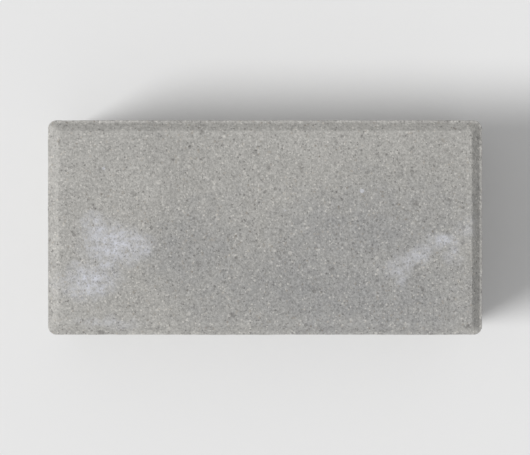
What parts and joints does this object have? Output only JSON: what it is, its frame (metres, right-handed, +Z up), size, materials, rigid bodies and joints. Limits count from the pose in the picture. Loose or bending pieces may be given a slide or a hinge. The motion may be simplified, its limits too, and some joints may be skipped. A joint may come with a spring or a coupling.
{
  "type": "concrete paving stone",
  "caption": "Rectangular concrete paving stone with a sandy wearing face, a bevel and narrow rim round its top edge, and spacer ribs that keep the joints open.",
  "frame": {"origin": "middle of the bed face, which lies on the laying course", "axes": "+X along the stone, +Y across it, +Z up to the wearing face"},
  "size_m": [0.2, 0.1, 0.06],
  "materials": {
    "concrete": "light grey pressed concrete with a fine sandy surface, matt"
  },
  "bodies": {
    "root": {"paving_stone": "concrete"}
  },
  "joints": []
}
